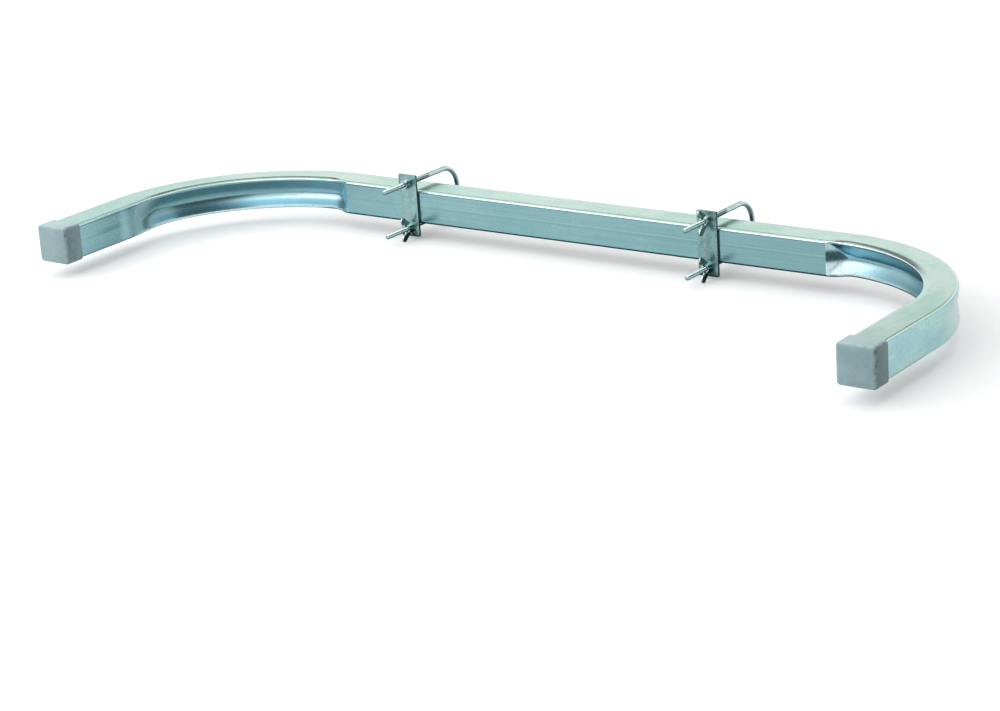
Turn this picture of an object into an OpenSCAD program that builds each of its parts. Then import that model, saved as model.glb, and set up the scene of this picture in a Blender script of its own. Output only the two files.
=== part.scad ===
// Ladder standoff: a bent square tube that two U-bolts clamp to a pair of ladder rungs.
// X runs along the tube, -Y points at the wall, +Z is up. The origin is on the tube's back face,
// midway between the two bends.

/* [Tube] */
// Outer width of the square tube
tube_w = 40; // [30:1:46]
// Wall of the tube
tube_wall = 2; // [1.5:0.25:3]
// Outer corner radius of the tube
tube_corner = 3.5; // [2.5:0.25:5]
// Straight length between the two bends
span = 660; // [560:10:900]
// Radius of each bend, to the middle of the tube
bend_r = 190; // [150:5:240]
// Straight leg from the end of a bend to the end of the tube
leg = 124; // [60:2:300]

/* [Crush bends] */
// Depth of the trough pressed into the inside of a bend
trough_depth = 16; // [10:0.5:18]
// How far the upper inner corner is drawn back from the inside of the bend
upper_lip_setback = 2; // [0:0.5:8]
// How far the lower inner corner is drawn back from the inside of the bend
lower_lip_setback = 8; // [0:0.5:8]
// How far each inner corner is drawn toward the middle of the tube's height
lip_pinch = 1.5; // [0:0.25:4]
// Width of the band beside an inner corner that is drawn in with it
pinch_band = 10; // [6:1:20]
// Roundness of the trough's crease, as a share of half the tube's height
crease_round = 0.18; // [0.05:0.01:0.5]
// How far the outer wall is hollowed
outer_dish = 2.5; // [0:0.25:4]
// How far before the bend the trough starts
trough_lead = 7; // [0:1:20]
// Length along the tube over which the crease slopes in to full depth
trough_opening = 20; // [15:1:60]
// Length along the tube over which the inner corners are drawn back
lip_opening = 30; // [20:1:60]
// Length along the tube over which the crease slopes out again
trough_closing = 65; // [30:1:120]
// How far the crease drops toward the lower corner where it slopes out
crease_drop = 5; // [0:0.5:8]
// How far the trough runs on into the leg
trough_runout = 17; // [5:1:40]

/* [End caps] */
// Wall of an end cap round the tube
cap_wall = 1.8; // [1:0.2:4]
// Thickness of an end cap's closed end
cap_base = 3; // [2:0.5:8]
// Length of tube inside an end cap
cap_grip = 22; // [12:1:50]
// Corner radius of an end cap, seen from its closed end
cap_corner = 4.5; // [3:0.5:8]
// Radius of the edges round an end cap's closed end
cap_edge = 3.5; // [1:0.5:6]
// Clearance between an end cap and the tube, on each side
cap_fit = 0.1; // [0.05:0.05:0.4]

/* [Clamps] */
// Place of the left clamp along the tube, from its middle
clamp_left_x = -229; // [-300:1:-60]
// Place of the right clamp along the tube, from its middle
clamp_right_x = 178; // [60:1:300]
// How far the clamps sit above the middle of the tube
clamp_rise = 1.5; // [-2:0.5:2]
// Width of a clamp plate, along the tube
plate_w = 25; // [20:1:50]
// Thickness of a clamp plate
plate_t = 3; // [2:0.5:6]
// Steel left between a plate's hole and its end
plate_end = 7.2; // [4:0.2:15]
// Corner radius of a clamp plate
plate_corner = 1.5; // [0.5:0.5:6]

/* [U-bolts] */
// Diameter of the rod
rod_d = 6; // [5:0.5:8]
// Gap between the tube and the rod, above and below a centred clamp
rod_gap = 3.5; // [2.5:0.5:8]
// Clear depth of a U-bolt behind the tube, where the rung lies
loop_depth = 50; // [36:1:80]
// Length of rod in front of a clamp plate
rod_reach = 45; // [30:1:80]
// Chamfer on the rod's ends
rod_chamfer = 0.8; // [0.4:0.2:1.5]
// Clearance between the rod and a plate's hole, all round
hole_fit = 0.3; // [0.2:0.1:1]

/* [Wing nuts] */
// Diameter of the hub where it meets the plate
hub_d = 12.4; // [11:0.2:16]
// Diameter of the hub at its top
hub_top_d = 9.8; // [9:0.2:13]
// Height of the hub
hub_h = 7.5; // [5:0.5:9]
// Height of the straight rim at the foot of the hub
hub_rim = 1.2; // [0.8:0.1:2]
// Chamfer on the hub's edges
hub_edge = 0.5; // [0.2:0.1:0.8]
// Distance from the middle of the hub to the tip of a wing
wing_reach = 14.5; // [13:0.5:20]
// Height of the wings above the plate
wing_h = 16.5; // [14.5:0.5:20]
// Radius of a wing's rounded tip
wing_tip_r = 3.8; // [3:0.2:4]
// Radius of the round saddle between the wings
saddle_r = 6.4; // [5:0.2:7]
// Thickness of a wing at the hub
wing_root_t = 3; // [2:0.2:4]
// Thickness of a wing at its tip
wing_tip_t = 2; // [1.2:0.2:3]
// Clearance between the nut's bore and the rod, all round
thread_fit = 0.05; // [0.02:0.01:0.1]
// Turn of the left upper wing nut, from wings upright
turn_left_upper = 122; // [0:1:179]
// Turn of the left lower wing nut, from wings upright
turn_left_lower = 2; // [0:1:179]
// Turn of the right upper wing nut, from wings upright
turn_right_upper = 3; // [0:1:179]
// Turn of the right lower wing nut, from wings upright
turn_right_lower = 5; // [0:1:179]

/* [Hidden] */
$fn = 48;

zinc = [0.60, 0.70, 0.73];
zinc_plate = [0.63, 0.71, 0.71];
plastic = [0.52, 0.58, 0.58];

tube_half = tube_w / 2;
bore_half = tube_half - tube_wall;
bore_corner = tube_corner - tube_wall > 0.5 ? tube_corner - tube_wall : 0.5;
bend_x = span / 2;
leg_x = bend_x + bend_r;
bend_len = bend_r * PI / 2;
swept_end = bend_len + trough_runout;
tube_end_y = -tube_half - bend_r - leg;

// Points on each rounded corner, and between the corners on each wall
corner_steps = 3;
inner_wall_points = 9;
side_wall_points = 3;
outer_wall_points = 3;
// Rings along a bend: close together where the trough opens, wider apart after that
opening_rings = 8;
bend_rings = 26;

front_y = -tube_w;
plate_front_y = front_y - plate_t;
rod_z = tube_half + rod_gap + rod_d / 2;
plate_h = 2 * (rod_z + rod_d / 2 + hole_fit + plate_end);
loop_r = rod_z - rod_d / 2;
loop_y = loop_depth - loop_r;
rod_tip_y = plate_front_y - rod_reach;

cap_w = tube_w + 2 * (cap_fit + cap_wall);
cap_len = cap_grip + cap_base;

// Cuts run this far past a face, so that they leave no skin
past = 1;

// Plain helpers

function mix(a, b, t) = a + (b - a) * t;
function clamp01(t) = min(max(t, 0), 1);
function ease(t) = let (u = clamp01(t)) u * u * (3 - 2 * u);
function arc(x, y, r, from, to, steps) =
    [for (i = [0 : steps]) let (a = mix(from, to, i / steps)) [x + r * cos(a), y + r * sin(a)]];
function between(a, b, count) = count == 0 ? [] : [for (i = [1 : count]) mix(a, b, i / (count + 1))];

module rounded_rect(w, h, r) {
    square([w - 2 * r, h], center = true);
    square([w, h - 2 * r], center = true);
    for (x = [-1, 1], y = [-1, 1])
        translate([x * (w / 2 - r), y * (h / 2 - r)]) circle(r);
}

// Tube: its section is drawn with the outside of the bend at +X and up at +Y

// Outline of a rounded square, with extra points on the walls
function outline(half, r, inner_count, side_count, outer_count) =
    let (c = half - r)
    concat(
        arc(c, -c, r, -90, 0, corner_steps), between([half, -c], [half, c], outer_count),
        arc(c, c, r, 0, 90, corner_steps), between([c, half], [-c, half], side_count),
        arc(-c, c, r, 90, 180, corner_steps), between([-half, c], [-half, -c], inner_count),
        arc(-c, -c, r, 180, 270, corner_steps), between([-c, -half], [c, -half], side_count));

function plain_outline(half, r) = outline(half, r, 0, 0, 0);
function full_outline(half, r) =
    outline(half, r, inner_wall_points, side_wall_points, outer_wall_points);

// The smaller of two depths, with a rounded change from one to the other
function soft_min(a, b) = min(a, b) <= 0 ? 0 : a * b / pow(pow(a, 5) + pow(b, 5), 1 / 5);

// How far the bend has crushed a point of the section, at a distance along the bend
function crush(p, s) =
    let (
        run = s + trough_lead,
        left = swept_end - s,
        lips = ease(run / lip_opening) * ease(left / trough_closing),
        slope = trough_depth * min(run / trough_opening, left / trough_closing),
        crease = -crease_drop * ease(1 - left / trough_closing),
        inward = ease((tube_half / 4 - p[0]) / (tube_half * 5 / 4)),
        outward = ease((p[0] - tube_half / 2) / (tube_half / 2)),
        pinch = ease((pinch_band - tube_half - p[0]) / pinch_band),
        rise = p[1] / tube_half,
        off = p[1] - crease,
        off_share = off / (tube_half - sign(off) * crease),
        valley = 1 - (norm([off_share, crease_round]) - crease_round)
            / (norm([1, crease_round]) - crease_round),
        lip = mix(lower_lip_setback, upper_lip_setback, (1 + rise) / 2),
        hollow = soft_min(slope, (trough_depth - lip) * valley),
        dish = outer_dish * outward * pow(cos(90 * rise), 2))
    [lips * (lip * inward - dish) + hollow * inward * inward, -lips * lip_pinch * pinch * rise];

// A section point at a distance along the right bend, negative on the straight before it
function on_bend(s, p) =
    let (
        a = 90 * clamp01(s / bend_len),
        before = min(s, 0),
        beyond = max(s - bend_len, 0),
        r = bend_r + p[0])
    [bend_x + before + r * sin(a), r * cos(a) - bend_r - beyond, p[1]];

opening_end = trough_opening - trough_lead;
ring_places = concat(
    [for (i = [0 : opening_rings]) mix(-trough_lead, opening_end, i / opening_rings)],
    [for (i = [1 : bend_rings]) mix(opening_end, swept_end, i / bend_rings)]);
bore_ring_places = [for (i = [0 : 2 : len(ring_places) - 1]) ring_places[i]];

outer_ring = full_outline(tube_half, tube_corner);
bore_ring = full_outline(bore_half, bore_corner);

// Quads between ring and ring, as triangles
function skin(ring_count, n, first, outward) =
    [for (k = [0 : ring_count - 2], i = [0 : n - 1])
        let (a = first + k * n + i, b = first + k * n + (i + 1) % n, c = b + n, d = a + n)
        each outward ? [[a, c, b], [a, d, c]] : [[a, b, c], [a, c, d]]];

// The flat end between an outer ring and a bore ring
function ring_end(n, outer, bore, outward) =
    [for (i = [0 : n - 1])
        let (a = outer + i, b = outer + (i + 1) % n, c = bore + (i + 1) % n, d = bore + i)
        each outward ? [[a, c, b], [a, d, c]] : [[a, b, c], [a, c, d]]];

module crushed_bend() {
    n = len(outer_ring);
    outer_points = [for (s = ring_places, p = outer_ring)
        on_bend(s, p + crush(p, s))];
    bore_points = [for (s = bore_ring_places, i = [0 : n - 1])
        on_bend(s, bore_ring[i] + crush(outer_ring[i], s))];
    bore_first = len(outer_points);
    last_outer = bore_first - n;
    last_bore = bore_first + len(bore_points) - n;
    polyhedron(
        points = concat(outer_points, bore_points),
        faces = concat(
            skin(len(ring_places), n, 0, true),
            skin(len(bore_ring_places), n, bore_first, false),
            ring_end(n, 0, bore_first, false),
            ring_end(n, last_outer, last_bore, true)),
        convexity = 8);
}

module tube_section() {
    difference() {
        polygon(plain_outline(tube_half, tube_corner));
        polygon(plain_outline(bore_half, bore_corner));
    }
}

module tube() {
    color(zinc)
    translate([0, -tube_half, 0]) {
        rotate([90, 0, 90]) linear_extrude(span - 2 * trough_lead, center = true) tube_section();
        for (side = [0, 1]) mirror([side, 0, 0]) {
            crushed_bend();
            translate([leg_x, -bend_r - trough_runout, 0])
                rotate([90, 0, 0]) linear_extrude(leg - trough_runout) tube_section();
        }
    }
}

// End cap: a moulded cup pushed over the tube's end, with softly rounded edges

module cap_block() {
    intersection() {
        linear_extrude(cap_len) rounded_rect(cap_w, cap_w, cap_corner);
        rotate([90, 0, 0]) linear_extrude(cap_w, center = true) rounded_rect(cap_w, 2 * cap_len, cap_edge);
        rotate([90, 0, 90]) linear_extrude(cap_w, center = true) rounded_rect(cap_w, 2 * cap_len, cap_edge);
    }
}

module end_cap(side) {
    color(plastic)
    translate([side * leg_x, tube_end_y + cap_grip, 0]) rotate([90, 0, 0])
    difference() {
        cap_block();
        translate([0, 0, -past]) linear_extrude(cap_grip + past)
            polygon(plain_outline(tube_half + cap_fit, tube_corner + cap_fit));
    }
}

// Clamp plate: a flat bar with a hole for each leg of the U-bolt

module clamp_plate(x) {
    color(zinc_plate)
    translate([x, front_y, clamp_rise]) rotate([90, 0, 0])
    difference() {
        linear_extrude(plate_t) rounded_rect(plate_w, plate_h, plate_corner);
        for (z = [-rod_z, rod_z])
            translate([0, z, -past]) cylinder(h = plate_t + 2 * past, r = rod_d / 2 + hole_fit);
    }
}

// U-bolt: two straight legs and a half-round bend, of one round rod

module rod_leg(z) {
    translate([0, loop_y, z]) rotate([90, 0, 0]) {
        cylinder(h = loop_y - rod_tip_y - rod_chamfer, d = rod_d);
        translate([0, 0, loop_y - rod_tip_y - rod_chamfer])
            cylinder(h = rod_chamfer, d1 = rod_d, d2 = rod_d - 2 * rod_chamfer);
    }
}

module u_bolt(x) {
    color(zinc)
    translate([x, 0, clamp_rise]) {
        for (z = [-rod_z, rod_z]) rod_leg(z);
        translate([0, loop_y, 0]) rotate([90, 0, 90])
            rotate([0, 0, -90]) rotate_extrude(angle = 180) translate([rod_z, 0]) circle(d = rod_d);
    }
}

// Wing nut: a tapered hub with two thin wings that flare up and out to rounded tips

module hub_body() {
    rotate_extrude() polygon([
        [0, 0], [hub_d / 2 - hub_edge, 0], [hub_d / 2, hub_edge], [hub_d / 2, hub_rim],
        [hub_top_d / 2, hub_h - hub_edge], [hub_top_d / 2 - hub_edge, hub_h], [0, hub_h]]);
}

module wing() {
    tip_x = wing_reach - wing_tip_r;
    tip_y = wing_h - wing_tip_r;
    saddle_y = hub_h + saddle_r;
    intersection() {
        // Side view: the wing's lower edge, its round tip and the saddle that the rod passes
        rotate([90, 0, 0]) linear_extrude(2 * wing_root_t, center = true) difference() {
            polygon(concat(
                [[0, hub_rim], [hub_d / 2 - hub_rim / 2, hub_rim]],
                arc(tip_x, tip_y, wing_tip_r, -55, 115, 10),
                [[saddle_r, saddle_y], [0, saddle_y]]));
            translate([0, saddle_y]) circle(saddle_r);
        }
        // Plan view: thick at the hub, thin and round at the tip
        linear_extrude(wing_h) polygon(concat(
            [[0, -wing_root_t / 2], [hub_top_d / 2, -wing_root_t / 2]],
            arc(wing_reach - wing_tip_t / 2, 0, wing_tip_t / 2, -90, 90, 6),
            [[hub_top_d / 2, wing_root_t / 2], [0, wing_root_t / 2]]));
    }
}

module wing_nut(x, level, turn) {
    color(zinc)
    translate([x, plate_front_y, clamp_rise + level * rod_z])
    rotate([90, 0, 0]) rotate([0, 0, 90 + turn])
    difference() {
        union() {
            hub_body();
            for (a = [0, 180]) rotate([0, 0, a]) wing();
        }
        translate([0, 0, -past]) cylinder(h = wing_h + 2 * past, r = rod_d / 2 + thread_fit);
    }
}

tube();
end_cap(-1);  // end_cap_left
end_cap(1);  // end_cap_right
clamp_plate(clamp_left_x);  // clamp_plate_left
clamp_plate(clamp_right_x);  // clamp_plate_right
u_bolt(clamp_left_x);  // u_bolt_left
u_bolt(clamp_right_x);  // u_bolt_right
wing_nut(clamp_left_x, 1, turn_left_upper);  // wing_nut_left_upper
wing_nut(clamp_left_x, -1, turn_left_lower);  // wing_nut_left_lower
wing_nut(clamp_right_x, 1, turn_right_upper);  // wing_nut_right_upper
wing_nut(clamp_right_x, -1, turn_right_lower);  // wing_nut_right_lower
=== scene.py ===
import math

import bpy
from mathutils import Matrix, Vector


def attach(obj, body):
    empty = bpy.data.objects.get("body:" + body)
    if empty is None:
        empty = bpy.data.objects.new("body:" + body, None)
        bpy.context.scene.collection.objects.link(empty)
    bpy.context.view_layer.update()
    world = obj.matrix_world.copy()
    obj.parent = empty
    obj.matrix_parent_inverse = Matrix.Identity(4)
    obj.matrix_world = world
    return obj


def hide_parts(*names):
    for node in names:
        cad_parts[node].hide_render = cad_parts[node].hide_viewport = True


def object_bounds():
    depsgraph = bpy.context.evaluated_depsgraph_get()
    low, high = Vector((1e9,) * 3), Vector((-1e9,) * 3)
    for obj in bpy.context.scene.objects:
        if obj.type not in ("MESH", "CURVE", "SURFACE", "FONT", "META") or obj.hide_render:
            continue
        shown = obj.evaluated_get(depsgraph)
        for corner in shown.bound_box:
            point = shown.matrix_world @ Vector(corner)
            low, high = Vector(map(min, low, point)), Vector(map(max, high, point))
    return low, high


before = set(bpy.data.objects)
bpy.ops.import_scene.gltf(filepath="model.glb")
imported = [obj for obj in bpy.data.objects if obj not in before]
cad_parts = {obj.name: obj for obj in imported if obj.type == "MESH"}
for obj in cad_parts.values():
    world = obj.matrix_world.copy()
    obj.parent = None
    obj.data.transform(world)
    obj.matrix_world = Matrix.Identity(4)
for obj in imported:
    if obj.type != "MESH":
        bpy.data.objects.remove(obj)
cad_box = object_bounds()

MM = 0.001

# How far a point may lie from the place that it is picked by
TIGHT = 0.01 * MM
LOOSE = 0.1 * MM

# Tube: the same values as the part's source
TUBE_W = 40 * MM
TUBE_HALF = TUBE_W / 2
TUBE_WALL = 2 * MM
TUBE_CORNER = 3.5 * MM
BEND_X = 330 * MM
BEND_R = 190 * MM
BEND_LEN = BEND_R * math.pi / 2
LEG = 124 * MM
LEG_X = BEND_X + BEND_R
BEND_Y = -TUBE_HALF - BEND_R
TUBE_END_Y = BEND_Y - LEG

# Crush bends
TROUGH_DEPTH = 16 * MM
UPPER_LIP_SETBACK = 2 * MM
LOWER_LIP_SETBACK = 8 * MM
LIP_PINCH = 1.5 * MM
PINCH_BAND = 10 * MM
CREASE_ROUND = 0.26
SLOPE_ROUND = 3.5
INNER_REACH = TUBE_HALF / 4
OUTER_DISH = 2.5 * MM
TROUGH_LEAD = 7 * MM
TROUGH_OPENING = 20 * MM
LIP_OPENING = 30 * MM
TROUGH_CLOSING = 65 * MM
LIP_CLOSING = 90 * MM
CREASE_DROP = 5 * MM
TROUGH_END = BEND_LEN + 17 * MM

# Painted band inside the trough
PAINTED_HALF = 13 * MM
PAINTED_FADE = 5 * MM
SLOPE_FADE = 2 * MM

# Weld seam: a low ridge along the front face
SEAM_Z = 2.1 * MM
SEAM_HALF_WIDTH = 0.9 * MM
SEAM_HEIGHT = 0.12 * MM

# Cuts on the walls of the tube's section, then steps and lengths along its straight, bend and leg
WALL_CUTS = (44, 14, 16)
STRAIGHT_RUNS = [(10, BEND_X - 8 * MM), (8, 8 * MM)]
BEND_RUNS = [(24, 12), (78, 78)]
LEG_RUNS = [(12, 36 * MM), (8, LEG - 36 * MM)]

# Clamps
CLAMP_X = {"left": -229 * MM, "right": 178 * MM}
CLAMP_RISE = 1.5 * MM
PLATE_W = 25 * MM
PLATE_T = 3 * MM
PLATE_H = 74 * MM
PLATE_CORNER = 1.5 * MM
PLATE_EDGE = 0.35 * MM
PLATE_FRONT_Y = -TUBE_W - PLATE_T
ROD_R = 3 * MM
ROD_Z = 26.5 * MM
HOLE_R = 3.3 * MM
LOOP_Y = 26.5 * MM
ROD_TIP_Y = -88 * MM
ROD_CHAMFER = 0.8 * MM
ROD_SIDES = 24
LOOP_STEPS = 48
THREAD_START_Y = -4 * MM
THREAD_PITCH = 1 * MM
THREAD_DEPTH = 0.4 * MM
THREAD_FADE = 4 * THREAD_PITCH
THREAD_FLANK = 1.25
THREAD_RUNS = 6
RINGS_PER_TURN = 6

# Wing nuts, and each nut's turn from wings upright
HUB_R = 6.2 * MM
HUB_TOP_R = 4.9 * MM
HUB_H = 7.5 * MM
HUB_RIM = 1.2 * MM
WING_REACH = 14.5 * MM
WING_H = 16.5 * MM
WING_TIP_R = 3.8 * MM
SADDLE_R = 6.4 * MM
WING_ROOT_T = 3 * MM
WING_TIP_T = 2 * MM
WING_SLOPES = (-55, 115)
WING_OVERLAP = 0.4 * MM
NUT_GRAIN = 0.22 * MM
NUT_SMOOTHING = 9
BORE_R = 3.05 * MM
NUTS = {
    "wing_nut_left_upper": ("left", 1, 122, "nut_left_upper"),
    "wing_nut_left_lower": ("left", -1, 2, "nut_left_lower"),
    "wing_nut_right_upper": ("right", 1, 3, "nut_right_upper"),
    "wing_nut_right_lower": ("right", -1, 5, "nut_right_lower"),
}

# End caps
CAP_W = 43.8 * MM
CAP_LEN = 25 * MM
CAP_WALL = 1.8 * MM
CAP_GRIP = 22 * MM
CAP_CORNER = 4.5 * MM
CAP_EDGE = 3.5 * MM
CAP_MOUTH_EDGE = 0.5 * MM
CAP_FRONT_Y = TUBE_END_Y - (CAP_LEN - CAP_GRIP)


def ease(t):
    t = min(max(t, 0), 1)
    return t * t * (3 - 2 * t)


def mix(a, b, t):
    return a + (b - a) * t


# Modelling: small steps over Blender's own edit tools


def only(piece):
    """Leaves edit mode and selects this piece alone."""
    if bpy.context.object and bpy.context.object.mode != "OBJECT":
        bpy.ops.object.mode_set(mode="OBJECT")
    bpy.ops.object.select_all(action="DESELECT")
    bpy.context.view_layer.objects.active = piece
    piece.select_set(True)


def choose(piece, kind="VERT", where=None):
    """Opens the piece for editing with the vertices, edges or faces picked by their place."""
    only(piece)
    mesh = piece.data
    for items in (mesh.vertices, mesh.edges, mesh.polygons):
        items.foreach_set("select", [False] * len(items))
    points = mesh.vertices
    if kind == "VERT":
        picked = [(v, v.co, v.normal) for v in points]
    elif kind == "EDGE":
        picked = [(e, (points[e.vertices[0]].co + points[e.vertices[1]].co) / 2,
                   (points[e.vertices[1]].co - points[e.vertices[0]].co).normalized())
                  for e in mesh.edges]
    else:
        picked = [(f, f.center, f.normal) for f in mesh.polygons]
    for item, place, way in picked:
        item.select = where is None or bool(where(place, way))
    bpy.context.tool_settings.mesh_select_mode = [kind == k for k in ("VERT", "EDGE", "FACE")]
    bpy.ops.object.mode_set(mode="EDIT")


def done(piece):
    bpy.ops.object.mode_set(mode="OBJECT")
    return piece


def new_piece(name):
    """Names the primitive that was just added and bakes its place into its mesh."""
    piece = bpy.context.object
    piece.name = piece.data.name = name
    bpy.ops.object.transform_apply(location=True, rotation=True, scale=True)
    return piece


def add(kind, name, **settings):
    bpy.ops.object.select_all(action="DESELECT")
    getattr(bpy.ops.mesh, f"primitive_{kind}_add")(**settings)
    return new_piece(name)


def finish_with(piece, kind, **settings):
    """Adds a modifier with these settings and applies it."""
    only(piece)
    modifier = piece.modifiers.new(kind, kind)
    for key, value in settings.items():
        setattr(modifier, key, value)
    bpy.ops.object.modifier_apply(modifier=modifier.name)


def cut(piece, tool, operation="DIFFERENCE"):
    finish_with(piece, "BOOLEAN", object=tool, operation=operation, solver="EXACT")
    bpy.data.objects.remove(tool)


def copy_of(piece, name, place):
    """A copy under its own name, moved within its mesh."""
    twin = piece.copy()
    twin.data = piece.data.copy()
    twin.name = twin.data.name = name
    bpy.context.scene.collection.objects.link(twin)
    twin.data.transform(place)
    return twin


def outward(piece):
    """Merges doubles and points every face outwards."""
    choose(piece)
    bpy.ops.mesh.select_all(action="SELECT")
    bpy.ops.mesh.remove_doubles(threshold=TIGHT)
    bpy.ops.mesh.normals_make_consistent(inside=False)
    done(piece)


def smooth(piece, degrees=35):
    only(piece)
    bpy.ops.object.shade_smooth_by_angle(angle=math.radians(degrees))


def edge_ring(name, width, corner, corner_steps, wall_cuts):
    """A rounded square of edges in the YZ plane round the origin, with cuts on each wall.
    wall_cuts gives the cuts on the walls that face -Y, +Y and up and down."""
    ring = add("plane", name, size=width, rotation=(0, math.pi / 2, 0))
    choose(ring)
    bpy.ops.mesh.bevel(offset=corner, segments=corner_steps, affect="VERTICES")
    bpy.ops.mesh.select_all(action="SELECT")
    bpy.ops.mesh.delete(type="ONLY_FACE")
    flat = width / 2 - TIGHT
    walls = [(lambda p, w: p.y < -flat, wall_cuts[0]), (lambda p, w: p.y > flat, wall_cuts[1]),
             (lambda p, w: abs(p.z) > flat, wall_cuts[2])]
    for wall, cuts in walls:
        choose(ring, "EDGE", wall)
        bpy.ops.mesh.subdivide(number_cuts=cuts)
    return done(ring)


# Tube


def unbent(p):
    """A point of the tube as (along, across, up) on a straight tube. Along is 0 at the bend's start,
    across is positive on the outside of the bend."""
    x = abs(p.x)
    if x > BEND_X and p.y > BEND_Y:
        reach = Vector((x - BEND_X, p.y - BEND_Y))
        return Vector((math.atan2(reach.x, reach.y) * BEND_R, reach.length - BEND_R, p.z))
    if x > BEND_X:
        return Vector((BEND_LEN + BEND_Y - p.y, x - LEG_X, p.z))
    return Vector((x - BEND_X, p.y + TUBE_HALF, p.z))


def bent(q, side):
    """The reverse of unbent, on the right or left half."""
    angle = min(max(q.x / BEND_R, 0), math.pi / 2)
    before, beyond = min(q.x, 0), max(q.x - BEND_LEN, 0)
    r = BEND_R + q.y
    return Vector((side * (BEND_X + before + r * math.sin(angle)),
                   BEND_Y + r * math.cos(angle) - beyond, q.z))


def soft_min(a, b):
    """The smaller of two depths, with a rounded change from one to the other."""
    return 0 if min(a, b) <= 0 else a * b / (a ** SLOPE_ROUND + b ** SLOPE_ROUND) ** (1 / SLOPE_ROUND)


def trough(along):
    """At a distance along the bend: the depth that the trough's sloping start allows, and the share
    of its depth that is left as it fades out."""
    run, left = along + TROUGH_LEAD, TROUGH_END - along
    return TROUGH_DEPTH * run / TROUGH_OPENING, ease(left / TROUGH_CLOSING)


def crushed(q):
    """Where the bending tool has pushed a point of the straight tube's section."""
    slope, share = trough(q.x)
    lips = ease((q.x + TROUGH_LEAD) / LIP_OPENING) * ease((TROUGH_END - q.x) / LIP_CLOSING)
    inward = ease((INNER_REACH - q.y) / (INNER_REACH + TUBE_HALF))
    outer = ease((q.y - TUBE_HALF / 2) / (TUBE_HALF / 2))
    pinch = ease((PINCH_BAND - TUBE_HALF - q.y) / PINCH_BAND)
    rise = q.z / TUBE_HALF
    crease = -CREASE_DROP * (1 - share)
    off = q.z - crease
    off /= TUBE_HALF + math.copysign(crease, off)
    valley = 1 - ((math.hypot(off, CREASE_ROUND) - CREASE_ROUND)
                  / (math.hypot(1, CREASE_ROUND) - CREASE_ROUND))
    lip = mix(LOWER_LIP_SETBACK, UPPER_LIP_SETBACK, (1 + rise) / 2)
    hollow = soft_min(slope, (TROUGH_DEPTH - lip) * valley * share)
    dish = OUTER_DISH * outer * math.cos(math.pi / 2 * rise) ** 2
    return q + Vector((0, lips * (lip * inward - dish) + hollow * inward ** 2,
                       -lips * LIP_PINCH * pinch * rise))


def mark_run(tube):
    """Stores each point's place along the straightened tube, how far the trough has pressed it, how
    far it lies on the trough's sloping start and on its fading end, and how far it faces up."""
    run, pressed, sloping, closing, upward = [], [], [], [], []
    for v in tube.data.vertices:
        q = unbent(v.co)
        run += [math.copysign(BEND_X + q.x, v.co.x), q.y, q.z]
        slope, share = trough(q.x)
        inner = ease((TUBE_HALF / 2 - q.y) / TUBE_HALF)
        inside = inner * (1 - ease((abs(q.z) - PAINTED_HALF) / PAINTED_FADE))
        pressed.append(ease(slope / TROUGH_DEPTH) * share * inside)
        closing.append(inside * 4 * share * (1 - share) if slope > 0 else 0)
        valley = TROUGH_DEPTH * (1 - abs(q.z) / TUBE_HALF)
        sloping.append(0 if slope <= 0 else inner * ease((valley - slope) / SLOPE_FADE + 0.5))
        upward.append(max(0, v.normal.z))
    for name, values in [("pressed", pressed), ("sloping", sloping), ("closing", closing),
                         ("upward", upward)]:
        tube.data.attributes.new(name, "FLOAT", "POINT").data.foreach_set("value", values)
    tube.data.attributes.new("run", "FLOAT_VECTOR", "POINT").data.foreach_set("vector", run)


def make_tube():
    tube = edge_ring("bent_tube", TUBE_W, TUBE_CORNER, 6, WALL_CUTS)
    choose(tube)
    bpy.ops.mesh.select_all(action="SELECT")
    bpy.ops.transform.translate(value=(0, -TUBE_HALF, 0))
    last = 0
    for steps, length in STRAIGHT_RUNS:
        choose(tube, "EDGE", lambda p, w: p.x > last - LOOSE)
        bpy.ops.mesh.extrude_repeat(steps=steps, offset=(length / steps, 0, 0))
        last += length
    turned, centre = 0, Vector((BEND_X, BEND_Y, 0))
    for steps, degrees in BEND_RUNS:
        facing = Vector((math.cos(turned), -math.sin(turned), 0))
        choose(tube, "EDGE", lambda p, w: (p - centre).dot(facing) > -LOOSE and p.x > BEND_X - LOOSE)
        bpy.ops.mesh.spin(steps=steps, angle=math.radians(degrees), center=centre, axis=(0, 0, 1))
        turned += math.radians(degrees)
    last = BEND_Y
    for steps, length in LEG_RUNS:
        choose(tube, "EDGE", lambda p, w: p.y < last + LOOSE)
        bpy.ops.mesh.extrude_repeat(steps=steps, offset=(0, -length / steps, 0))
        last -= length
    done(tube)
    for v in tube.data.vertices:
        q = unbent(v.co)
        if q.y < 0 and abs(abs(q.y) - TUBE_HALF) < TIGHT:
            q.y -= SEAM_HEIGHT * max(0, 1 - abs(q.z - SEAM_Z) / SEAM_HALF_WIDTH)
        v.co = bent(crushed(q), 1)
    finish_with(tube, "MIRROR", use_axis=(True, False, False), use_mirror_merge=True,
                merge_threshold=TIGHT)
    outward(tube)
    finish_with(tube, "SOLIDIFY", thickness=TUBE_WALL, offset=-1, use_even_offset=True)
    smooth(tube, 50)
    mark_run(tube)
    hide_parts("tube")
    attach(tube, "frame")
    return tube


# End caps


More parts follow.
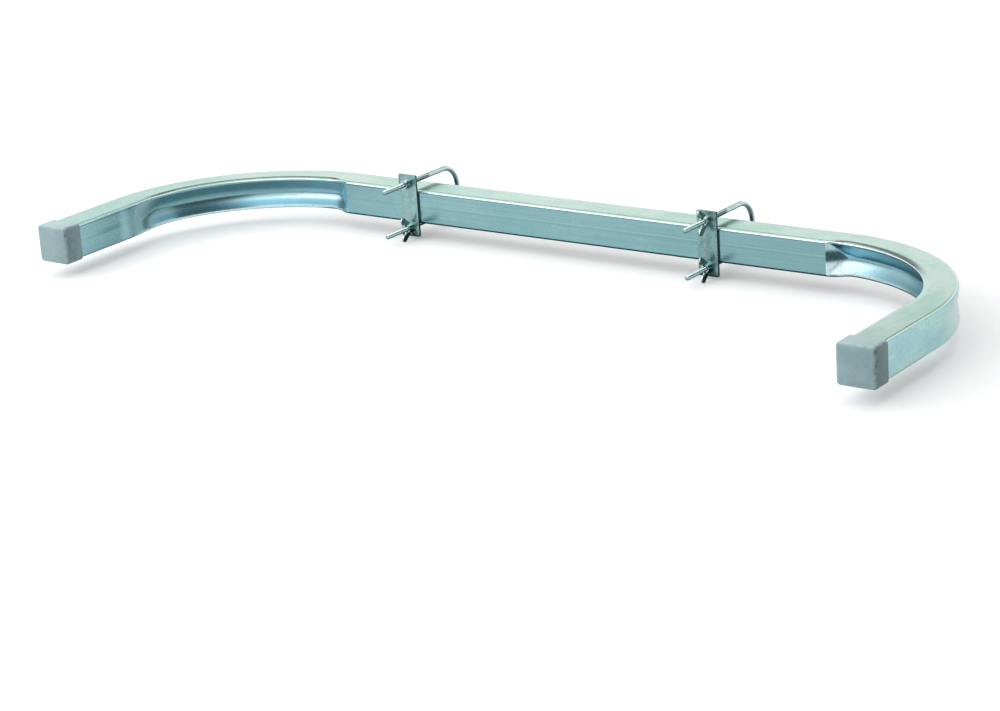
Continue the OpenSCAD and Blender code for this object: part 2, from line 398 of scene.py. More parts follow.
def make_cap(name, side):
    cap = add("cube", name, size=1, scale=(CAP_W, CAP_LEN, CAP_W),
              location=(side * LEG_X, TUBE_END_Y + CAP_GRIP - CAP_LEN / 2, 0))
    choose(cap, "EDGE", lambda p, way: abs(way.y) > 0.9)
    bpy.ops.mesh.bevel(offset=CAP_CORNER, segments=8, affect="EDGES")
    choose(cap, "EDGE", lambda p, way: p.y < CAP_FRONT_Y + TIGHT)
    bpy.ops.mesh.bevel(offset=CAP_EDGE, segments=7, affect="EDGES")
    choose(cap, "FACE", lambda p, way: way.y > 0.9)
    bpy.ops.mesh.inset(thickness=CAP_WALL)
    bpy.ops.mesh.extrude_region_move(TRANSFORM_OT_translate={"value": (0, -CAP_GRIP, 0)})
    done(cap)
    finish_with(cap, "BEVEL", width=CAP_MOUTH_EDGE, segments=3, limit_method="ANGLE",
                angle_limit=math.radians(50))
    smooth(cap, 40)
    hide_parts("end_cap_left" if side < 0 else "end_cap_right")
    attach(cap, "frame")
    return cap


# Clamps


def make_plate(name, x):
    plate = add("cube", name, size=1, scale=(PLATE_W, PLATE_T, PLATE_H),
                location=(x, -TUBE_W - PLATE_T / 2, CLAMP_RISE))
    choose(plate, "EDGE", lambda p, way: abs(way.y) > 0.9)
    bpy.ops.mesh.bevel(offset=PLATE_CORNER, segments=5, affect="EDGES")
    done(plate)
    for level in (-1, 1):
        punch = add("cylinder", "punch", vertices=48, radius=HOLE_R, depth=3 * PLATE_T,
                    location=(x, -TUBE_W, CLAMP_RISE + level * ROD_Z), rotation=(math.pi / 2, 0, 0))
        cut(plate, punch)
    finish_with(plate, "BEVEL", width=PLATE_EDGE, segments=3, limit_method="ANGLE",
                angle_limit=math.radians(50))
    smooth(plate, 40)
    return plate


def thread_radius(y, turn):
    """Radius of the rolled thread at a place along a leg, turned by a share of a turn."""
    start = ease((THREAD_START_Y - y) / THREAD_FADE)
    wave = (y / THREAD_PITCH + turn) % 1
    groove = min(1, THREAD_FLANK * (1 - abs(2 * wave - 1)))
    chamfer = max(0, ROD_CHAMFER - (y - ROD_TIP_Y))
    return min(ROD_R - THREAD_DEPTH * start * groove, ROD_R - chamfer)


def make_u_bolt():
    """A round rod swept down one leg, round the bend and up the other, then rolled with a thread."""
    rod = add("circle", "u_bolt", vertices=ROD_SIDES, radius=ROD_R, location=(0, ROD_TIP_Y, ROD_Z),
              rotation=(math.pi / 2, 0, 0))
    threaded = THREAD_START_Y - ROD_TIP_Y
    y = ROD_TIP_Y
    for steps, length in [(THREAD_RUNS, threaded), (4, LOOP_Y - THREAD_START_Y)]:
        choose(rod, "EDGE", lambda p, w: p.y > y - LOOSE)
        bpy.ops.mesh.extrude_repeat(steps=steps, offset=(0, length / steps, 0))
        y += length
    choose(rod, "EDGE", lambda p, w: p.y > LOOP_Y - LOOSE)
    bpy.ops.mesh.spin(steps=LOOP_STEPS, angle=math.pi, center=(0, LOOP_Y, 0), axis=(1, 0, 0))
    for steps, length in [(4, LOOP_Y - THREAD_START_Y), (THREAD_RUNS, threaded)]:
        choose(rod, "EDGE", lambda p, w: p.y < y + LOOSE and p.z < 0)
        bpy.ops.mesh.extrude_repeat(steps=steps, offset=(0, -length / steps, 0))
        y -= length
    rings = round(RINGS_PER_TURN * threaded / THREAD_PITCH / THREAD_RUNS)
    choose(rod, "EDGE", lambda p, way: abs(way.y) > 0.9 and p.y < THREAD_START_Y)
    bpy.ops.mesh.subdivide(number_cuts=rings - 1)
    done(rod)
    for v in rod.data.vertices:
        if v.co.y < THREAD_START_Y + THREAD_PITCH:
            level = math.copysign(ROD_Z, v.co.z)
            out = Vector((v.co.x, 0, v.co.z - level))
            turn = math.atan2(out.z, out.x) / (2 * math.pi)
            out = out.normalized() * thread_radius(v.co.y, turn)
            v.co = (out.x, v.co.y, level + out.z)
    choose(rod, "EDGE", lambda p, w: p.y < ROD_TIP_Y + TIGHT)
    bpy.ops.mesh.edge_face_add()
    return done(rod)


def make_wing_nut():
    """One nut standing on its foot at the origin, wings along X."""
    hub = add("cylinder", "nut", vertices=64, radius=HUB_R, depth=HUB_H, location=(0, 0, HUB_H / 2))
    choose(hub, "FACE")
    bpy.ops.mesh.select_all(action="SELECT")
    bpy.ops.mesh.bisect(plane_co=(0, 0, HUB_RIM), plane_no=(0, 0, 1))
    choose(hub, "VERT", lambda p, w: p.z > HUB_H - TIGHT)
    bpy.ops.transform.resize(value=(HUB_TOP_R / HUB_R, HUB_TOP_R / HUB_R, 1),
                             center_override=(0, 0, HUB_H))
    done(hub)
    tip = Vector((WING_REACH - WING_TIP_R, 0, WING_H - WING_TIP_R))
    for side in (-1, 1):
        web = add("cube", "web", size=1, scale=(1, WING_ROOT_T, 1))
        low, high = (math.radians(a) for a in WING_SLOPES)
        corners = {(-1, -1): (0, HUB_RIM), (1, -1): (HUB_R - HUB_RIM / 2, HUB_RIM),
                   (1, 1): (SADDLE_R, HUB_H + SADDLE_R), (-1, 1): (0, HUB_H + SADDLE_R)}
        for v in web.data.vertices:
            x, z = corners[(int(math.copysign(1, v.co.x)), int(math.copysign(1, v.co.z)))]
            v.co.x, v.co.z = side * x, z
        outward(web)
        cut(hub, web, "UNION")
        blade = add("cube", "blade", size=1, scale=(1, WING_ROOT_T, 1))
        corners = {(-1, -1): (HUB_R - HUB_RIM / 2, HUB_RIM),
                   (1, -1): (tip.x + WING_TIP_R * math.cos(low), tip.z + WING_TIP_R * math.sin(low)),
                   (1, 1): (tip.x + WING_TIP_R * math.cos(high), tip.z + WING_TIP_R * math.sin(high)),
                   (-1, 1): (SADDLE_R - WING_OVERLAP, HUB_H + SADDLE_R)}
        for v in blade.data.vertices:
            outer = v.co.x > 0
            x, z = corners[(int(math.copysign(1, v.co.x)), int(math.copysign(1, v.co.z)))]
            v.co = (side * x, v.co.y * (WING_TIP_T / WING_ROOT_T if outer else 1), z)
        outward(blade)
        cut(hub, blade, "UNION")
        lobe = add("cylinder", "lobe", vertices=48, radius=WING_TIP_R, depth=WING_TIP_T,
                   location=(side * tip.x, 0, tip.z), rotation=(math.pi / 2, 0, 0))
        cut(hub, lobe, "UNION")
    saddle = add("cylinder", "saddle", vertices=64, radius=SADDLE_R, depth=4 * HUB_R,
                 location=(0, 0, HUB_H + SADDLE_R), rotation=(math.pi / 2, 0, 0))
    cut(hub, saddle)
    finish_with(hub, "REMESH", mode="VOXEL", voxel_size=NUT_GRAIN)
    finish_with(hub, "SMOOTH", factor=0.5, iterations=NUT_SMOOTHING)
    bore = add("cylinder", "bore", vertices=48, radius=BORE_R, depth=4 * HUB_H)
    cut(hub, bore)
    smooth(hub, 45)
    return hub


def make_clamps():
    nut = make_wing_nut()
    rod = make_u_bolt()
    made = {"plate": [], "rod": [], "nut": []}
    for side, x in CLAMP_X.items():
        plate = make_plate(f"pressed_plate_{side}", x)
        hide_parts(f"clamp_plate_{side}")
        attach(plate, f"clamp_{side}")
        made["plate"].append(plate)
        bolt = copy_of(rod, f"threaded_u_bolt_{side}", Matrix.Translation((x, 0, CLAMP_RISE)))
        smooth(bolt, 50)
        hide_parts(f"u_bolt_{side}")
        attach(bolt, f"u_bolt_{side}")
        made["rod"].append(bolt)
    for node, (side, level, turn, body) in NUTS.items():
        place = (Matrix.Translation((CLAMP_X[side], PLATE_FRONT_Y, CLAMP_RISE + level * ROD_Z))
                 @ Matrix.Rotation(math.pi / 2, 4, "X")
                 @ Matrix.Rotation(math.radians(90 + turn), 4, "Z"))
        twin = copy_of(nut, f"forged_{node}", place)
        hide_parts(node)
        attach(twin, body)
        made["nut"].append(twin)
    bpy.data.objects.remove(nut)
    bpy.data.objects.remove(rod)
    return made


# Materials


class Sum:
    """A number or a socket in a material, so that its maths reads as plain expressions."""

    def __init__(self, paint, socket):
        self.paint, self.socket = paint, socket

    def _math(self, operation, *others, clamp=False):
        return self.paint.node("ShaderNodeMath", {"operation": operation, "use_clamp": clamp},
                               dict(enumerate((self, *others))))

    def __add__(self, other): return self._math("ADD", other)
    def __radd__(self, other): return self + other
    def __sub__(self, other): return self._math("SUBTRACT", other)
    def __rsub__(self, other): return self.paint.node(
        "ShaderNodeMath", {"operation": "SUBTRACT"}, {0: other, 1: self})
    def __mul__(self, other): return self._math("MULTIPLY", other)
    def __abs__(self): return self._math("ABSOLUTE")

    def clamped(self): return self._math("ADD", 0, clamp=True)

    def between(self, low, high):
        """0 below low, 1 above high, and eased between them."""
        return self.paint.node("ShaderNodeMapRange", {"interpolation_type": "SMOOTHSTEP"},
                               {"Value": self, "From Min": low, "From Max": high})


class Paint:
    """A material under construction."""

    def __init__(self, name, pieces, **settings):
        self.material = bpy.data.materials.new(name)
        self.material.use_nodes = True
        self.tree = self.material.node_tree
        self.shader = self.tree.nodes["Principled BSDF"]
        self.place = self.node("ShaderNodeTexCoord", out="Object")
        for key, value in settings.items():
            self.set(key, value)
        for piece in pieces:
            piece.data.materials.clear()
            piece.data.materials.append(self.material)

    def node(self, kind, settings=None, values=None, out=0):
        """A new node with its settings and socket values or links, as its output."""
        made = self.tree.nodes.new(kind)
        for key, value in (settings or {}).items():
            setattr(made, key, value)
        for key, value in (values or {}).items():
            self._feed(made.inputs[key], value)
        return Sum(self, made.outputs[out])

    def _feed(self, socket, value):
        if isinstance(value, Sum):
            self.tree.links.new(value.socket, socket)
        elif isinstance(value, tuple) and len(value) == 3 and socket.type == "RGBA":
            socket.default_value = (*value, 1)
        else:
            socket.default_value = value

    def set(self, name, value):
        self._feed(self.shader.inputs[name], value)

    def attribute(self, name, out="Vector"):
        return self.node("ShaderNodeAttribute", {"attribute_name": name}, out=out)

    def scaled(self, vector, scale, offset=(0, 0, 0)):
        return self.node("ShaderNodeMapping", {}, {"Vector": vector, "Scale": scale,
                                                   "Location": offset})

    def noise(self, vector, scale, detail=3, roughness=0.5):
        return self.node("ShaderNodeTexNoise", {}, {"Vector": vector, "Scale": scale,
                                                    "Detail": detail, "Roughness": roughness})

    def part(self, vector, axis):
        return self.node("ShaderNodeSeparateXYZ", {}, {"Vector": vector}, out=axis)

    def blend(self, a, b, amount):
        """From colour a to colour b."""
        mixed = self.tree.nodes.new("ShaderNodeMix")
        mixed.data_type = "RGBA"
        self._feed(mixed.inputs["Factor"], amount)
        for socket, value in zip([s for s in mixed.inputs if s.type == "RGBA"], (a, b)):
            self._feed(socket, value)
        return Sum(self, [s for s in mixed.outputs if s.type == "RGBA"][0])

    def bump(self, height, distance, strength, under=None):
        values = {"Height": height, "Distance": distance, "Strength": strength}
        if under is not None:
            values["Normal"] = under
        return self.node("ShaderNodeBump", {}, values)


ZINC = (0.19, 0.37, 0.40)
ZINC_PALE = (0.26, 0.44, 0.46)
ZINC_BLUE = (0.22, 0.45, 0.54)
ZINC_SOFT = (0.34, 0.57, 0.63)
ZINC_LOW_SHADE = (0.12, 0.30, 0.38)
ZINC_SKY = (0.26, 0.64, 0.82)
ZINC_DARK = (0.09, 0.17, 0.18)
ZINC_RAMP_SHADE = (0.035, 0.075, 0.08)
ZINC_DEEP = (0.16, 0.30, 0.32)
MINT = (0.49, 0.77, 0.67)
MINT_PALE = (0.62, 0.82, 0.74)
MINT_DIM = (0.30, 0.60, 0.55)
# PEARL and SHINE are the colours of painted highlights.
PEARL = (0.70, 0.84, 0.85)
SHINE = (0.92, 0.97, 0.97)

# Two colours that mix, then the painted shade of faces that look down and of sides that look right
PLATE_LEFT_TONES = ((0.20, 0.35, 0.34), (0.34, 0.50, 0.48), (0.24, 0.40, 0.39), (0.04, 0.08, 0.09))
PLATE_RIGHT_TONES = ((0.12, 0.23, 0.23), (0.27, 0.42, 0.41), (0.17, 0.30, 0.29), (0.03, 0.06, 0.07))
ROD_TONES = ((0.46, 0.64, 0.64), (0.62, 0.77, 0.76), (0.08, 0.16, 0.17), None)
NUT_TONES = ((0.50, 0.65, 0.65), (0.70, 0.82, 0.80), (0.08, 0.15, 0.15), (0.16, 0.26, 0.26))
DULL_FADE = 2 * MM

CAP_GREY = (0.25, 0.385, 0.41)
CAP_PALE = (0.32, 0.455, 0.48)
CAP_RIM_HIGHLIGHT = (0.50, 0.61, 0.62)
CAP_SCUFF = (0.20, 0.27, 0.28)
CAP_SIDE_SHADE = (0.19, 0.34, 0.33)
CAP_TOP_LIGHT = (0.50, 0.66, 0.65)
CAP_WORN = (0.09, 0.12, 0.12)
CAP_GRAIN = (0.18, 0.27, 0.28)

# Wear and the painted edge highlight on the caps: how far they reach from their edges
RIM_FADE = 3.2 * MM
SMEAR_BACK = 2 * MM
SMEAR_FADE = 7 * MM


# Marks and painted lip highlights on the tube. Along a straightened half, and for the lower lip
# downwards: where they rise to full strength and where they fall back to nothing
DULL_SPAN = (TROUGH_END - 40 * MM, TROUGH_END), (TROUGH_END + 15 * MM, TROUGH_END + 90 * MM)
SCRAPE_SPAN = (TROUGH_END + 14 * MM, TROUGH_END + 20 * MM), (TROUGH_END + 35 * MM, TROUGH_END + 65 * MM)
LOWER_LIP_SPAN = (0, 8 * MM), (TROUGH_END - 60 * MM, TROUGH_END)
UPPER_LIP_SPAN = (0, 8 * MM), (TROUGH_END - 60 * MM, TROUGH_END - 20 * MM)
LOWER_LIP_BAND = (14 * MM, 16 * MM), (17.5 * MM, 19 * MM)

# Marks, painted shade and painted highlights: place, then how far from it each is full and how far from
# it each is gone
TOOL_MARK = (TROUGH_END + 9 * MM, 0, 13 * MM)
SEAM_SHADOW = (SEAM_Z - 1.6 * MM, 0.6 * MM, 1.8 * MM)
SEAM_HIGHLIGHT = (SEAM_Z + 0.6 * MM, 0.3 * MM, 0.8 * MM)
SCRAPE_BAND = (SEAM_Z - 0.5 * MM, 1.5 * MM, 4 * MM)
CREASE_BAND = (-2 * MM, 2 * MM, 7 * MM)
RAMP_SHADE_BAND = (3 * MM, 3 * MM, 9 * MM)


def span(value, rise, fall):
    """1 between two places and 0 outside them, eased at both."""
    return value.between(*rise) * (1 - value.between(*fall))


def near(value, place, full, gone):
    """1 as far as full from a place, and 0 from gone onwards."""
    return 1 - abs(value - place).between(full, gone)


class TubeFields:
    """What the tube's paint is mixed from: places on the straightened tube, and noise."""

    def __init__(self, p):
        run = p.attribute("run")
        self.along, self.across, self.up = (p.part(run, axis) for axis in range(3))
        self.down = 0 - self.up
        self.reach = abs(self.along) - BEND_X
        self.right = self.along.between(0, 1 * MM)
        self.left = 1 - self.right
        self.inner = (0 - self.across).between(0, 1 * MM)
        self.front = (0 - self.across).between(TUBE_HALF - 1 * MM, TUBE_HALF - 0.3 * MM)
        self.pressed, self.sloping, self.closing, self.lift = (
            p.attribute(name, "Fac") for name in ("pressed", "sloping", "closing", "upward"))
        self.upward = self.lift.between(0.50, 0.86)
        self.cloud = p.noise(p.scaled(run, (14, 30, 30)), 1, 5, 0.6)
        self.streak = p.noise(p.scaled(run, (3, 700, 700)), 1, 3, 0.6)
        self.grain = p.noise(p.place, 1300, 2, 0.5)
        self.mottle = p.noise(p.place, 430, 3, 0.6)
        self.blotch = self.cloud.between(0.38, 0.62)


def plated_faces(p, t):
    """The tube's faces without marks: blue-green sides with drawing streaks, a mint top painted paler
    as lit from above, a painted highlight along the front top corner, and paler outer faces.
    """
    colour = p.blend(ZINC, ZINC_PALE, t.blotch * 0.4 + t.streak.between(0.38, 0.62) * 0.6)
    colour = p.blend(colour, ZINC_DEEP, t.along.between(0 - BEND_X * 0.3, BEND_X) * 0.4)
    mint = p.blend(MINT_PALE, MINT, (t.cloud * 0.85 + t.mottle * 0.15).between(0.38, 0.62))
    left_end = (0 - t.along).between(BEND_X + 40 * MM, BEND_X + BEND_LEN)
    # Painted light: faces that look up are painted pale mint, dimmer towards the left end.
    colour = p.blend(colour, p.blend(mint, MINT_DIM, left_end * 0.45), t.upward)
    # A painted highlight along the rounded corner between the front and the top.
    corner = t.lift.between(0.22, 0.40) * (1 - t.upward) * t.inner
    colour = p.blend(colour, PEARL, corner * 0.7)
    colour = p.blend(colour, ZINC_BLUE, t.pressed * 0.8)
    outer = t.across.between(TUBE_HALF - 4 * MM, TUBE_HALF - 3 * MM) * (1 - t.upward)
    leg = t.reach.between(BEND_LEN * 0.8, BEND_LEN + 60 * MM)
    back = p.blend(ZINC_SOFT, MINT, t.cloud.between(0.34, 0.68))
    return p.blend(colour, back, outer * (0.5 + leg * 0.4))


def front_marks(p, t, colour):
    """A painted shadow under the weld seam's ridge and a painted highlight over it, and where a trough
    fades out the dull span, the tool's pale mark and, on the left, a dark scrape beyond it."""
    dull = t.front * span(t.reach, *DULL_SPAN)
    colour = p.blend(colour, ZINC_DEEP, dull * (0.45 + t.mottle * 0.6))
    colour = p.blend(colour, ZINC_DARK, dull * t.mottle.between(0.44, 0.62) * 0.4)
    tool_mark = near(t.reach, *TOOL_MARK)
    colour = p.blend(colour, ZINC_SOFT, t.front * tool_mark * (0.25 + t.mottle * 0.4))
    # Painted shadow under the seam's ridge and painted highlight over it.
    seam_shadow = near(t.up, *SEAM_SHADOW) * t.front
    seam_highlight = near(t.up, *SEAM_HIGHLIGHT) * t.front
    colour = p.blend(colour, ZINC_DEEP, seam_shadow * (0.32 + dull * (1 - tool_mark) * 0.5))
    colour = p.blend(colour, MINT_PALE, seam_highlight * 0.12)
    scrape = span(t.reach, *SCRAPE_SPAN) * near(t.up, *SCRAPE_BAND) * t.front * t.left
    return p.blend(colour, ZINC_DARK, scrape * (0.25 + t.mottle * 0.6))


def trough_halves(p, t, colour):
    """The trough's upper and lower slopes and the crease between them, painted with reflections, a
    highlight and shade.
    """
    fading = 1 - t.reach.between(10 * MM, 230 * MM)
    # Painted reflection: sky blue on the upper slope of the right trough.
    colour = p.blend(colour, ZINC_SKY, t.pressed * t.up.between(0, 4 * MM) * fading * t.right)
    low = t.down.between(5 * MM, 10 * MM)
    opening = (1 - t.reach.between(10 * MM, 75 * MM)) * t.right
    opening = opening + (1 - t.reach.between(70 * MM, 170 * MM)) * t.left
    # Painted highlight on the lower slope next to the crease.
    shine = t.down.between(0, 5 * MM) * (1 - low * (0.8 - t.right * 0.5))
    colour = p.blend(colour, PEARL, t.pressed * shine * opening * 0.85)
    # Painted shade low on the lower slope.
    low_shade = (0.9 - t.right * 0.55) * (1 - opening * t.right * 0.8)
    colour = p.blend(colour, ZINC_LOW_SHADE, t.pressed * low * low_shade)
    # Painted shade on the upper slope and in the crease of the left trough.
    slope_and_crease_shade = t.up.between(0, 4 * MM) * 0.85 + near(t.up, *CREASE_BAND) * 0.9
    slope_and_crease_shade = slope_and_crease_shade.clamped() * t.reach.between(20 * MM, 120 * MM)
    return p.blend(colour, ZINC_DEEP, t.pressed * t.left * slope_and_crease_shade)


def trough_start(p, t, colour):
    """The trough's sloping start: painted shade, mottled, with painted pale highlights at its edges on
    the right, and a painted sky-blue reflection on the left.
    """
    core = near(t.up, *RAMP_SHADE_BAND)
    # Painted highlight along the edges of the right ramp.
    rim = t.sloping * t.right * (1 - core)
    colour = p.blend(colour, PEARL, rim * (0.5 + t.down.between(0, 5 * MM) * 0.4))
    # Painted shade, mottled, in the middle of the right ramp.
    ramp_shade = t.sloping * t.right * core
    colour = p.blend(colour, ZINC_RAMP_SHADE, ramp_shade * (0.6 + t.mottle * 0.8).clamped())
    # Painted sky-blue reflection on the left ramp.
    return p.blend(colour, ZINC_SKY, t.sloping * t.left * 0.9)


def trough_lips(p, t, colour):
    """Painted highlights: bright lines along the trough's lower and upper lips."""
    lower = span(t.down, *LOWER_LIP_BAND) * t.inner * span(t.reach, *LOWER_LIP_SPAN)
    colour = p.blend(colour, PEARL, lower * 0.8)
    upper = t.up.between(14 * MM, 16.5 * MM) * span(t.lift, (0.16, 0.34), (0.74, 0.90)) * t.inner
    upper = upper * span(t.reach, *UPPER_LIP_SPAN)
    return p.blend(colour, SHINE, upper)


def paint_tube(pieces):
    p = Paint("tube_zinc_drawn", pieces)
    t = TubeFields(p)
    colour = plated_faces(p, t)
    for marks in (front_marks, trough_halves, trough_start, trough_lips):
        colour = marks(p, t, colour)
    colour = p.blend(colour, ZINC_SOFT, t.closing * t.left * 0.5)
    speck = p.noise(p.place, 640, 2, 0.4).between(0.68, 0.74)
    colour = p.blend(colour, ZINC_DARK, speck * (0.12 + t.blotch * 0.2))
    shade = t.mottle.between(0.48, 0.72) * (0.4 - t.upward * 0.3)
    p.set("Base Color", p.blend(colour, ZINC_DEEP, shade))
    p.set("Metallic", 1 - (t.sloping + t.closing) * t.left * 0.5)
    p.set("Roughness", 0.13 + t.cloud * 0.10 + t.grain * 0.05 + t.pressed * 0.08 + t.sloping * 0.10)
    lines = p.bump(t.streak, 0.03 * MM, 0.4)
    p.set("Normal", p.bump(t.grain, 0.02 * MM, 0.4, lines))


def paint_bright(name, pieces, tones, rough, stretch, bump=0.3, dull=None):
    """Bright zinc on small steel pieces in the four colours of tones: two that mix, then painted shade
    on faces that look down and, where given, on sides that look right. The third one also lies between
    the two places along Y given as dull."""
    p = Paint(name, pieces, Metallic=1.0)
    colour, other, under, side = tones
    cloud = p.noise(p.place, 120, 4, 0.6)
    lines = p.noise(p.scaled(p.place, stretch), 1, 3, 0.6)
    normal = p.node("ShaderNodeTexCoord", out="Normal")
    facing_up = p.part(normal, 2)
    mottle = p.noise(p.place, 480, 3, 0.6)
    tone = p.blend(colour, other, (cloud * 0.3 + lines * 0.3 + mottle * 0.4).between(0.40, 0.60))
    # Painted shade on faces that look down and, where a side colour is given, on sides that look right.
    tone = p.blend(under, tone, facing_up.between(-0.45, 0.35))
    if side:
        tone = p.blend(tone, side, p.part(normal, 0).between(0.55, 0.85))
    if dull:
        along = p.part(p.place, 1)
        # The stretch given as dull is painted darker, towards the down-facing colour.
        worn = span(along, *((y, y + DULL_FADE) for y in dull))
        tone = p.blend(tone, under, worn * 0.55)
    p.set("Base Color", tone)
    p.set("Roughness", rough + lines * 0.12)
    p.set("Normal", p.bump(lines * 0.5 + cloud * 0.5, 0.05 * MM, bump))


def mark_rims(cap, side):
    """Stores how near each point is to the rounded edges round the cap's closed end, and to the
    one of them that stands on the right."""
    rims, right = [], []
    for v in cap.data.vertices:
        gaps = sorted([CAP_W / 2 - abs(v.co.x - side * LEG_X), CAP_W / 2 - abs(v.co.z),
                       v.co.y - CAP_FRONT_Y])
        rims.append(1 - ease(gaps[1] / RIM_FADE))
        beside = CAP_W / 2 - (v.co.x - side * LEG_X)
        right.append(1 - ease(math.hypot(beside, v.co.y - CAP_FRONT_Y - SMEAR_BACK) / SMEAR_FADE))
    cap.data.attributes.new("rim", "FLOAT", "POINT").data.foreach_set("value", rims)
    cap.data.attributes.new("smear", "FLOAT", "POINT").data.foreach_set("value", right)


def paint_caps(pieces):
    p = Paint("cap_grey_plastic", pieces, Metallic=0.0)
    rim = p.attribute("rim", "Fac")
    cloud = p.noise(p.place, 45, 4, 0.6)
    grain = p.noise(p.place, 1100, 3, 0.6)
    scuff = p.noise(p.scaled(p.place, (300, 300, 90)), 1, 4, 0.7).between(0.60, 0.72)
    chips = p.noise(p.place, 260, 4, 0.7)
    worn = (rim * 0.22 + chips).between(0.68, 0.78)
    smear = p.attribute("smear", "Fac") * (0.35 + chips.between(0.38, 0.62) * 0.65)
    normal = p.node("ShaderNodeTexCoord", out="Normal")
    aside = p.part(normal, 0).between(0.5, 0.95)
    above = p.part(normal, 2).between(0.5, 0.95)
    colour = p.blend(CAP_GREY, CAP_PALE, cloud.between(0.35, 0.65))
    # Painted highlight along the rounded edges.
    colour = p.blend(colour, CAP_RIM_HIGHLIGHT, rim * 0.5)
    colour = p.blend(colour, CAP_SCUFF, scuff * 0.45)
    # Painted shade on faces that look right, and painted light on faces that look up.
    colour = p.blend(colour, CAP_SIDE_SHADE, aside * 0.35)
    colour = p.blend(colour, CAP_TOP_LIGHT, above * 0.85)
    colour = p.blend(colour, CAP_WORN, (worn * 0.7 + smear * 0.65).clamped())
    p.set("Base Color", p.blend(colour, CAP_GRAIN, grain.between(0.5, 0.72) * 0.35))
    p.set("Roughness", 0.48 + grain * 0.15)
    p.set("Normal", p.bump(grain, 0.07 * MM, 0.5, p.bump(worn, -0.15 * MM, 0.6)))


# Setting: floor, lights and camera

FLOOR_GLOW = 0.34
FLOOR_GLOW_BEYOND = 0.6
FLOOR_FADE = (1.2, 3.5)
WORLD_FILL = 0.18

# Name, place, aim, size and radiance, whether it lights pieces and whether metal mirrors it
LAMPS = [
    ("overhead", (-1.3, -0.2, 2.2), (-0.6, -0.1, 0), (6.0, 6.0), 1.1, True, False),
    ("overhead_shine", (-0.9, -1.9, 2.2), (-0.9, -1.9, 0), (4.6, 2.0), 1.5, False, True),
    ("front_strip", (-1.3, -3.6, 2.0), (0, 0, 0.3), (7.0, 2.4), 1.7, True, False),
    ("front_shine", (-1.3, -3.7, 2.05), (0, -0.1, 0.35), (7.0, 2.4), 0.4, False, True),
]

# Name, place, aim and size; those named beneath lie on the floor
BENEATH = cad_box[0].z + 1 * MM
CARDS = [
    ("card_behind", (-2.06, 3.43, 2.4), (0, 0, 2.4), (3.2, 1.3)),
    ("card_in_front", (-1.9, -4.1, 0.4), (0, 0, 0.4), (8, 0.8)),
    # The cards beneath are dark sheets that stand in for the shade under the tube in what the metal
    # mirrors.
    ("card_beneath", (0.05, -0.02, BENEATH), (0.05, -0.02, 1), (0.85, 0.08)),
    ("card_beneath_leg", (-LEG_X, -0.27, BENEATH), (-LEG_X, -0.27, 1), (0.04, 0.14)),
    ("card_beneath_leg", (LEG_X, -0.27, BENEATH), (LEG_X, -0.27, 1), (0.04, 0.14)),
    ("card_on_right", (2.2, -1.4, 1.6), (0, -1.4, 1.6), (3.8, 2.2)),
]
CARD_GREY = (0.08, 0.12, 0.12)

# The photograph's camera, as fitted to the tube's edges: turn, tilt and roll in degrees
CAMERA_AT = (1.77707, -2.59789, 0.87935)
CAMERA_TURNS = (36.4745, 18.2263, -3.8411)
CAMERA_LENS = 103.67
CAMERA_SENSOR = 36


def seen_rays(tree):
    """1 for rays from the camera or off a mirror, and 0 for scattered light."""
    rays = tree.nodes.new("ShaderNodeLightPath")
    seen = rays.outputs["Is Camera Ray"]
    for ray in ("Is Glossy Ray", "Is Transmission Ray"):
        both = tree.nodes.new("ShaderNodeMath")
        both.operation = "MAXIMUM"
        tree.links.new(seen, both.inputs[0])
        tree.links.new(rays.outputs[ray], both.inputs[1])
        seen = both.outputs[0]
    return seen


def make_floor():
    """A white floor that keeps the shadow and looks as pale as the world further out."""
    floor = add("plane", "floor", size=60, location=(0, 0, cad_box[0].z))
    paint = Paint("floor_white", [floor], Roughness=0.9)
    paint.set("Base Color", (0.80, 0.80, 0.80))
    paint.set("Emission Color", (1, 1, 1))
    out = paint.node("ShaderNodeVectorMath", {"operation": "LENGTH"}, {"Vector": paint.place}, "Value")
    glow = FLOOR_GLOW + out.between(*FLOOR_FADE) * FLOOR_GLOW_BEYOND
    paint.set("Emission Strength", Sum(paint, seen_rays(paint.tree)) * glow)


def make_world():
    """White where it is seen or mirrored, and dim as a light."""
    world = bpy.data.worlds.new("studio")
    bpy.context.scene.world = world
    world.use_nodes = True
    tree = world.node_tree
    back = tree.nodes["Background"]
    back.inputs["Color"].default_value = (1, 1, 1, 1)
    level = tree.nodes.new("ShaderNodeMapRange")
    level.inputs["To Min"].default_value = WORLD_FILL
    level.inputs["To Max"].default_value = 1.0
    tree.links.new(seen_rays(tree), level.inputs["Value"])
    tree.links.new(level.outputs[0], back.inputs["Strength"])


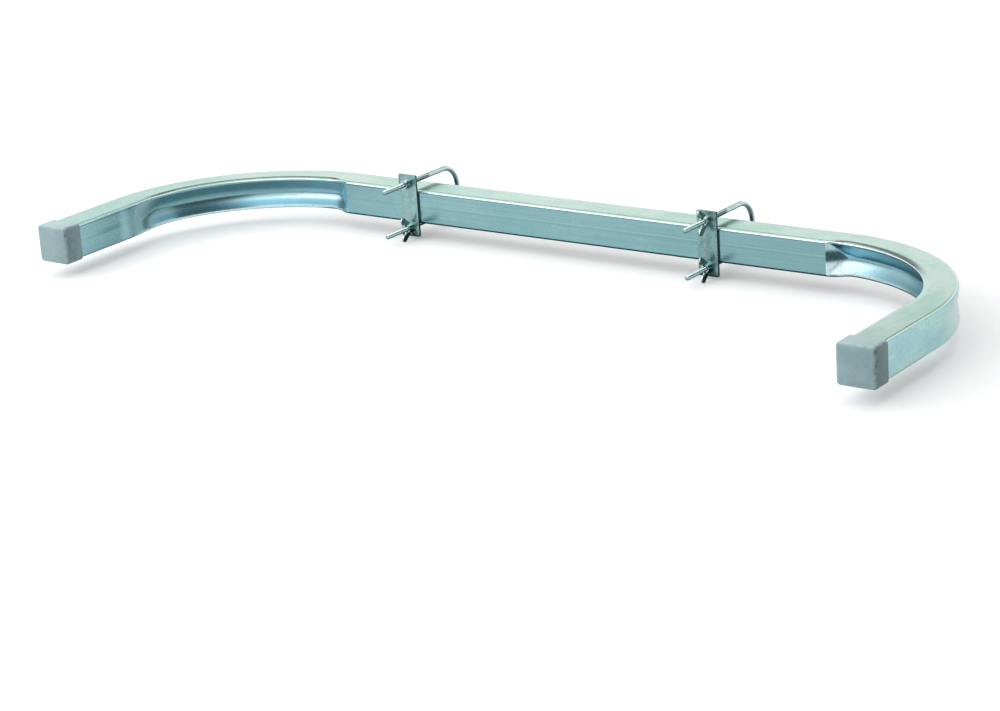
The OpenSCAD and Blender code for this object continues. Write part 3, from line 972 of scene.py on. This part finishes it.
def soft_box(name, place, aim, size, radiance, lights, mirrored):
    """A lamp of even radiance. It can be left out of the light that falls on pieces, or out of
    what their metal mirrors."""
    lamp = bpy.data.lights.new(name, "AREA")
    lamp.shape = "RECTANGLE"
    lamp.size, lamp.size_y = size
    lamp.energy = radiance * math.pi * size[0] * size[1]
    box = bpy.data.objects.new(name, lamp)
    bpy.context.scene.collection.objects.link(box)
    box.location = place
    box.rotation_euler = (Vector(aim) - Vector(place)).to_track_quat("-Z", "Y").to_euler()
    box.visible_camera = False
    box.visible_diffuse = lights
    box.visible_glossy = mirrored


def dark_card(name, place, aim, size):
    """A dark board that only the metal's reflections see."""
    card = add("plane", name, size=1)
    card.data.transform(Matrix.Diagonal((*size, 1, 1)))
    way = (Vector(aim) - Vector(place)).to_track_quat("-Z", "Y").to_matrix().to_4x4()
    card.data.transform(Matrix.Translation(place) @ way)
    paint = Paint(name, [card], Roughness=1.0)
    paint.set("Base Color", CARD_GREY)
    card.visible_camera = card.visible_diffuse = card.visible_shadow = False
    card.visible_transmission = False


def make_camera():
    data = bpy.data.cameras.new("camera")
    data.lens = CAMERA_LENS
    data.sensor_width = CAMERA_SENSOR
    camera = bpy.data.objects.new("camera", data)
    bpy.context.scene.collection.objects.link(camera)
    turn, tilt, roll = (math.radians(a) for a in CAMERA_TURNS)
    camera.matrix_world = (Matrix.Translation(CAMERA_AT)
                           @ Matrix.Rotation(turn, 4, "Z")
                           @ Matrix.Rotation(math.pi / 2 - tilt, 4, "X")
                           @ Matrix.Rotation(roll, 4, "Z"))
    bpy.context.scene.camera = camera


make_camera()
paint_tube([make_tube()])
caps = [make_cap("moulded_cap_left", -1), make_cap("moulded_cap_right", 1)]
mark_rims(caps[0], -1)
mark_rims(caps[1], 1)
paint_caps(caps)
clamps = make_clamps()
plate_left, plate_right = clamps["plate"]
# The right plate is painted in darker tones than the left.
paint_bright("plate_zinc_rolled", [plate_left], PLATE_LEFT_TONES, 0.20, (500, 30, 30))
paint_bright("plate_zinc_darker", [plate_right], PLATE_RIGHT_TONES, 0.24, (500, 30, 30))
paint_bright("rod_zinc_bright", clamps["rod"], ROD_TONES, 0.16, (900, 40, 900), bump=0.2,
             dull=(-TUBE_W, THREAD_START_Y))
paint_bright("nut_zinc_bright", clamps["nut"], NUT_TONES, 0.10, (300, 300, 300), bump=0.5)
make_floor()
make_world()
for lamp in LAMPS:
    soft_box(*lamp)
for card in CARDS:
    dark_card(*card)

bpy.context.scene.view_settings.view_transform = "Standard"
